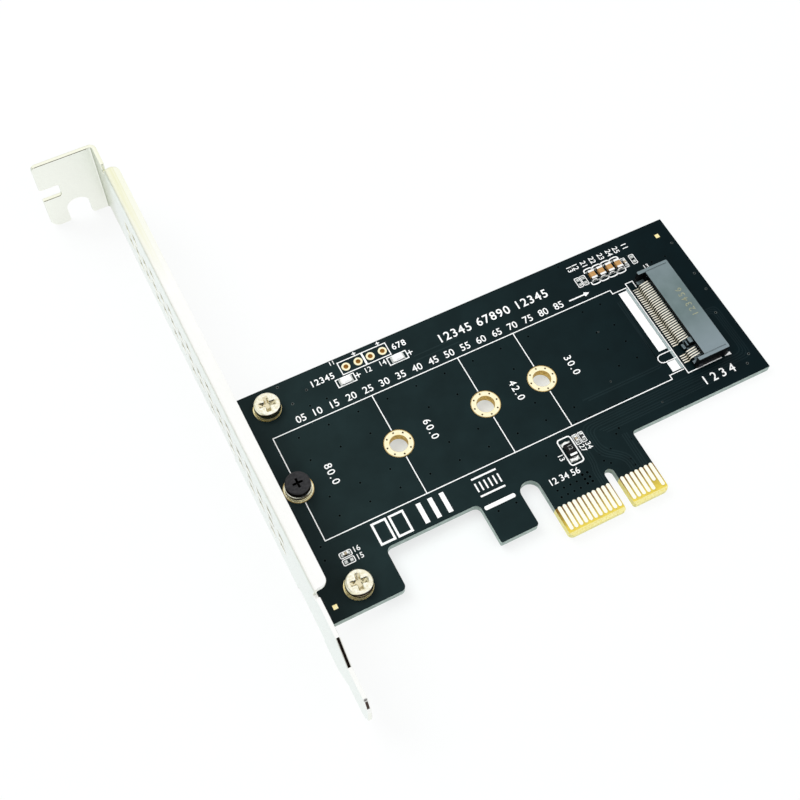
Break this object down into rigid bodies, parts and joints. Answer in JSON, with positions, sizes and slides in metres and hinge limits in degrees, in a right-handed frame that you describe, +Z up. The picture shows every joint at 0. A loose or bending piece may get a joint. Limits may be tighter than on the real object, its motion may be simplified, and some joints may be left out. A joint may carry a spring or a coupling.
{
  "type": "storage module adapter card",
  "caption": "Flat expansion card that carries a slim storage module in a low socket, with a screw standoff, edge connector and vented metal bracket.",
  "frame": {"origin": "middle of the underside of the whole part, on the plane of the bracket's lower long edge", "axes": "+X from the bracket to the socket, +Y from the edge connector to the bracket's screw tab, +Z up from the component side"},
  "size_m": [0.1094, 0.12, 0.0184],
  "materials": {
    "board": "near-black gloss solder mask on glass-epoxy laminate",
    "bracket_steel": "bright plated sheet steel",
    "gold_plating": "thin gold plating on copper",
    "screw_steel": "bright plated",
    "black_screw_steel": "satin black oxide",
    "standoff_steel": "bright plated, machined",
    "socket_plastic": "satin grey heat-resistant plastic",
    "spring_contact": "pale gold flash",
    "solder_tin": "tinned",
    "tan_ceramic": "satin fired",
    "pale_ceramic": "satin fired",
    "dark_ceramic": "satin glazed",
    "lamp_resin": "clear to milky resin",
    "diode_plastic": "satin black moulding"
  },
  "bodies": {
    "root": {"activity_header_rings": "gold_plating", "bracket": "bracket_steel", "bracket_screw_lower": "screw_steel", "bracket_screw_upper": "screw_steel", "circuit_board": "board", "component_pads": "solder_tin", "coupling_capacitor_1_body": "tan_ceramic", "coupling_capacitor_1_ends": "solder_tin", "coupling_capacitor_2_body": "tan_ceramic", "coupling_capacitor_2_ends": "solder_tin", "coupling_capacitor_3_body": "tan_ceramic", "coupling_capacitor_3_ends": "solder_tin", "coupling_capacitor_4_body": "tan_ceramic", "coupling_capacitor_4_ends": "solder_tin", "diode_body": "diode_plastic", "diode_leads": "solder_tin", "edge_contacts_back": "gold_plating", "edge_contacts_front": "gold_plating", "fiducial_marks": "gold_plating", "indicator_lamp_1_body": "lamp_resin", "indicator_lamp_1_ends": "solder_tin", "indicator_lamp_2_body": "lamp_resin", "indicator_lamp_2_ends": "solder_tin", "module_hole_ring_30": "gold_plating", "module_hole_ring_42": "gold_plating", "module_hole_ring_60": "gold_plating", "module_hole_ring_80": "gold_plating", "module_screw": "black_screw_steel", "module_standoff": "standoff_steel", "power_header_rings": "gold_plating", "resistor_body": "dark_ceramic", "resistor_ends": "solder_tin", "screw_hole_ring_lower": "gold_plating", "screw_hole_ring_upper": "gold_plating", "small_capacitor_1_body": "pale_ceramic", "small_capacitor_1_ends": "solder_tin", "small_capacitor_2_body": "pale_ceramic", "small_capacitor_2_ends": "solder_tin", "small_capacitor_3_body": "pale_ceramic", "small_capacitor_3_ends": "solder_tin", "socket_contacts_lower": "spring_contact", "socket_contacts_upper": "spring_contact", "socket_hold_downs": "solder_tin", "socket_housing": "socket_plastic", "standoff_nut": "standoff_steel"}
  },
  "joints": []
}
